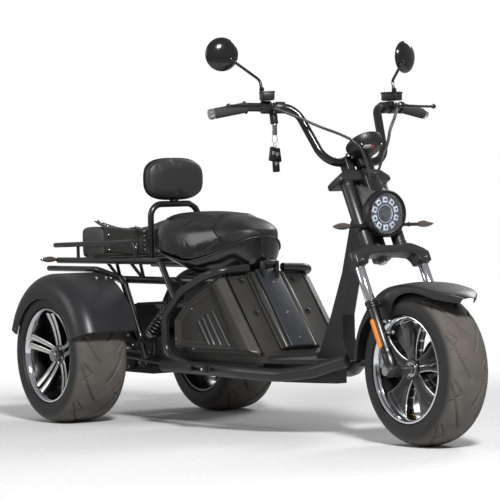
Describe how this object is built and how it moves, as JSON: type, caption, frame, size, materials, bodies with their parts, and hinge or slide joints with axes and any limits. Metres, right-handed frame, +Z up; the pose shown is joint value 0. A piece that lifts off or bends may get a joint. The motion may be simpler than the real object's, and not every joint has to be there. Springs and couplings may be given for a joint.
{
  "type": "three-wheeled electric scooter",
  "caption": "Electric trike with a wide front wheel, twin rear wheels under round fenders, raked fork, high bars, bobber seat, backrest and rear rack with a bag.",
  "frame": {"origin": "on the ground, under the middle of the bounding box", "axes": "+X forward, +Y to the rider's left, +Z up"},
  "size_m": [2.1999, 0.872, 1.2857],
  "materials": {
    "frame_satin": "satin charcoal paint",
    "frame_gloss": "semi-gloss black paint",
    "deck_rubber": "ribbed rubber",
    "panel_charcoal": "satin charcoal paint",
    "cover_blue_grey": "satin grey paint",
    "axle_steel": "turned steel",
    "drive_grey": "dark casting",
    "case_black": "matt black",
    "shock_black": "gloss black coil",
    "fender_charcoal": "satin charcoal",
    "pad_vinyl": "matt vinyl",
    "bag_leather": "black leather",
    "lamp_black": "smoked lens in a black body",
    "clamp_gunmetal": "satin gunmetal",
    "fork_chrome": "polished",
    "fork_gunmetal": "satin gunmetal",
    "bar_dark": "gloss dark grey",
    "grip_rubber": "knurled rubber",
    "control_black": "satin black",
    "cable_sheath": "spiral wrap",
    "key_steel": "nickel",
    "display_black": "black shell",
    "lamp_glass": "clear lens",
    "shroud_black": "satin black",
    "mirror_black": "black shell",
    "tyre_rubber": "dusty tread",
    "front_rim_black": "black with machined edges",
    "rear_rim_black": "black with machined spokes",
    "seat_base_black": "satin black",
    "seat_vinyl": "gloss vinyl"
  },
  "bodies": {
    "chassis": {"main_frame": "frame_satin", "side_loop_right": "frame_satin", "side_loop_left": "frame_satin", "deck": "deck_rubber", "belly_pan": "frame_satin", "battery_case": "panel_charcoal", "side_panel_right": "panel_charcoal", "side_panel_left": "panel_charcoal", "front_cover": "cover_blue_grey", "rear_truss": "frame_gloss", "rack_rails": "frame_gloss", "fender_stays": "frame_gloss", "swing_arm": "frame_satin", "rear_axle": "axle_steel", "drive_unit": "drive_grey", "controller_box": "case_black", "shock_right": "shock_black", "shock_left": "shock_black", "rear_fender_right": "fender_charcoal", "rear_fender_left": "fender_charcoal", "backrest_hoop": "frame_gloss", "backrest_pad": "pad_vinyl", "tail_bag": "bag_leather", "tail_lamps": "lamp_black", "footpegs": "frame_satin"},
    "steering": {"triple_clamp": "clamp_gunmetal", "fork_covers": "clamp_gunmetal", "fork_tubes": "fork_chrome", "fork_lowers": "fork_gunmetal", "front_axle": "axle_steel", "handlebar": "bar_dark", "grips": "grip_rubber", "brake_levers": "control_black", "brake_cables": "cable_sheath", "ignition_keys": "key_steel", "display": "display_black", "headlight": "lamp_glass", "headlight_shroud": "shroud_black", "front_signals": "lamp_black", "mirror_right": "mirror_black", "mirror_left": "mirror_black", "front_fender": "fender_charcoal"},
    "front_wheel": {"front_tyre": "tyre_rubber", "front_rim": "front_rim_black"},
    "rear_wheel_right": {"rear_tyre_right": "tyre_rubber", "rear_rim_right": "rear_rim_black"},
    "rear_wheel_left": {"rear_tyre_left": "tyre_rubber", "rear_rim_left": "rear_rim_black"},
    "seat": {"seat_pan": "seat_base_black", "seat_cushion": "seat_vinyl"}
  },
  "joints": [
    {"name": "steering", "type": "hinge", "parent": "chassis", "child": "steering", "pos_m": [0.83071, 0, 0.22356], "axis": [-0.454, 0, 0.891], "range_deg": [-36, 36]},
    {"name": "front_wheel_spin", "type": "hinge", "parent": "steering", "child": "front_wheel", "pos_m": [0.861, 0, 0.239], "axis": [0, 1, 0], "continuous": true},
    {"name": "rear_wheel_right_spin", "type": "hinge", "parent": "chassis", "child": "rear_wheel_right", "pos_m": [-0.769, -0.321, 0.239], "axis": [0, 1, 0], "continuous": true},
    {"name": "rear_wheel_left_spin", "type": "hinge", "parent": "chassis", "child": "rear_wheel_left", "pos_m": [-0.769, 0.321, 0.239], "axis": [0, 1, 0], "continuous": true},
    {"name": "seat_lift", "type": "hinge", "parent": "chassis", "child": "seat", "pos_m": [0.021, 0, 0.557], "axis": [0, 1, 0], "range_deg": [0, 60]}
  ]
}
